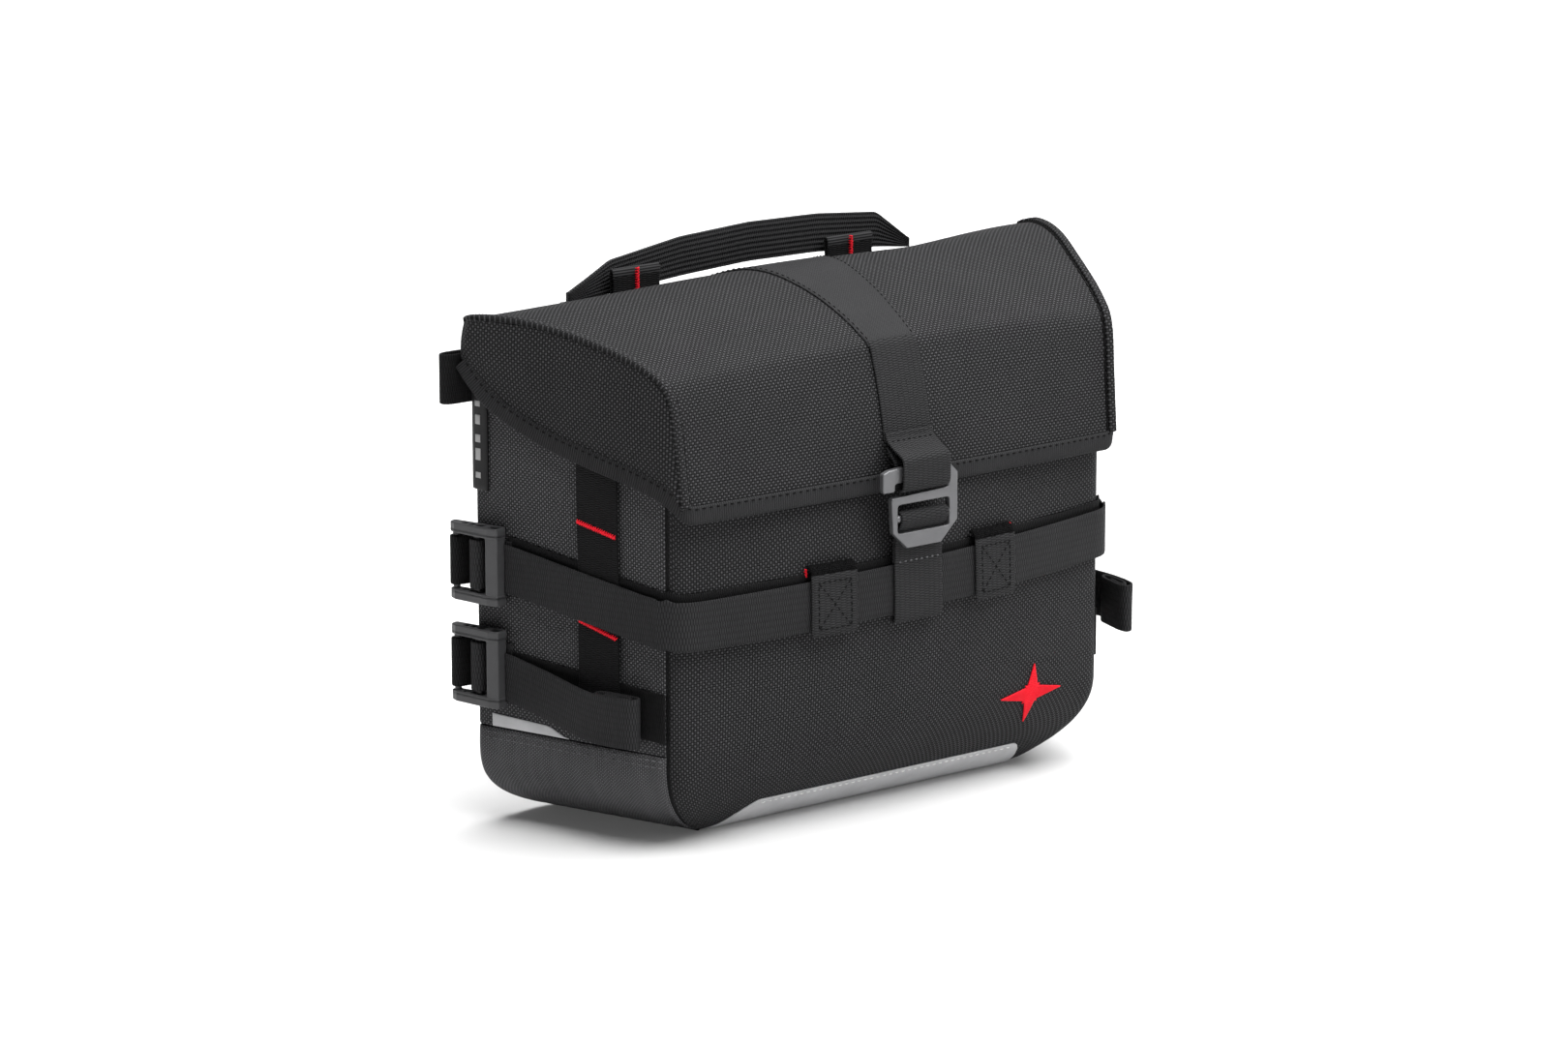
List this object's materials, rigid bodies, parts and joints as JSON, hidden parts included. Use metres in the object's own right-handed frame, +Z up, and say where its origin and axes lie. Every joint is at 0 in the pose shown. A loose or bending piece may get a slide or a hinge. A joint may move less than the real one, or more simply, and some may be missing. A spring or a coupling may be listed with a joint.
{
  "type": "soft luggage bag",
  "caption": "Soft motorcycle luggage bag with a flap lid closed by a G-hook, a webbing carry handle and buckled side straps on a trapezoid body.",
  "frame": {"origin": "middle of the body in length and depth, on the surface that the base stands on", "axes": "+X along the bag's length, -Y towards the front with the hook, +Y towards the flat back, +Z up"},
  "size_m": [0.374, 0.1523, 0.2815],
  "materials": {
    "ballistic_nylon": "coarse ballistic weave",
    "side_fabric": "finer basket weave",
    "base_fabric": "coated ribbed fabric",
    "lining": "coated plain weave",
    "stiffener": "matt sheet",
    "edge_tape": "grosgrain tape",
    "webbing": "ribbed webbing",
    "strip_fabric": "fine plain weave",
    "reflector": "glass-bead reflective film",
    "red_thread": "satin stitch",
    "tag_rubber": "moulded rubber",
    "hook_metal": "anodised grey",
    "buckle_plastic": "moulded grey"
  },
  "bodies": {
    "bag": {"back_board": "stiffener", "back_panel": "side_fabric", "bar_tacks": "red_thread", "base_board": "stiffener", "base_panel": "base_fabric", "buckle_anchors": "webbing", "emblem": "red_thread", "front_band": "webbing", "front_panel": "ballistic_nylon", "front_reflector": "reflector", "handle_anchors": "webbing", "hook_anchor": "webbing", "inner_band": "webbing", "lash_loops": "webbing", "left_band_keeper": "webbing", "left_base_cap": "base_fabric", "left_daisy_strap": "webbing", "left_lower_strap": "webbing", "left_side_panel": "side_fabric", "left_side_reflector": "reflector", "left_strap_tail": "webbing", "left_tie_loop": "webbing", "liner": "lining", "mouth_binding": "edge_tape", "right_band_keeper": "webbing", "right_base_cap": "base_fabric", "right_daisy_strap": "webbing", "right_lower_strap": "webbing", "right_side_panel": "side_fabric", "right_side_reflector": "reflector", "right_strap_tail": "webbing", "right_tie_loop": "webbing", "side_tag": "tag_rubber"},
    "lid": {"lid_shell": "ballistic_nylon", "left_lid_gusset": "ballistic_nylon", "right_lid_gusset": "ballistic_nylon", "lid_binding": "edge_tape", "lid_piping": "edge_tape", "lid_stiffener": "stiffener", "lid_centre_strip": "strip_fabric", "lid_webbing": "webbing", "lid_hook_loop": "webbing"},
    "hook_tab": {"hook_tab": "webbing"},
    "g_hook": {"g_hook": "hook_metal"},
    "handle": {"handle": "webbing"},
    "left_upper_buckle": {"left_upper_buckle": "buckle_plastic", "left_upper_buckle_strap": "webbing"},
    "left_lower_buckle": {"left_lower_buckle": "buckle_plastic", "left_lower_buckle_strap": "webbing"},
    "right_upper_buckle": {"right_upper_buckle": "buckle_plastic", "right_upper_buckle_strap": "webbing"},
    "right_lower_buckle": {"right_lower_buckle": "buckle_plastic", "right_lower_buckle_strap": "webbing"}
  },
  "joints": [
    {"name": "lid_hinge", "type": "hinge", "parent": "bag", "child": "lid", "pos_m": [0, 0.0577, 0.256], "axis": [-1, 0, 0], "range_deg": [0, 90], "deforming": ["lid_hook_loop"]},
    {"name": "hook_tab_fold", "type": "hinge", "parent": "bag", "child": "hook_tab", "pos_m": [0, -0.0759, 0.133], "axis": [1, 0, 0], "range_deg": [0, 90]},
    {"name": "hook_pivot", "type": "hinge", "parent": "hook_tab", "child": "g_hook", "pos_m": [0, -0.0795, 0.1564], "axis": [-1, 0, 0], "range_deg": [0, 8]},
    {"name": "handle_fold", "type": "hinge", "parent": "bag", "child": "handle", "pos_m": [0, 0.0672, 0.2527], "axis": [-1, 0, 0], "range_deg": [0, 90]},
    {"name": "left_upper_buckle_pivot", "type": "hinge", "parent": "bag", "child": "left_upper_buckle", "pos_m": [-0.18006, 0.06211, 0.1], "axis": [0, 0, -1], "range_deg": [0, 25]},
    {"name": "left_lower_buckle_pivot", "type": "hinge", "parent": "bag", "child": "left_lower_buckle", "pos_m": [-0.18006, 0.06211, 0.1], "axis": [0, 0, -1], "range_deg": [0, 25]},
    {"name": "right_upper_buckle_pivot", "type": "hinge", "parent": "bag", "child": "right_upper_buckle", "pos_m": [0.18006, 0.06211, 0.1], "axis": [0, 0, 1], "range_deg": [0, 25]},
    {"name": "right_lower_buckle_pivot", "type": "hinge", "parent": "bag", "child": "right_lower_buckle", "pos_m": [0.18006, 0.06211, 0.1], "axis": [0, 0, 1], "range_deg": [0, 25]}
  ]
}
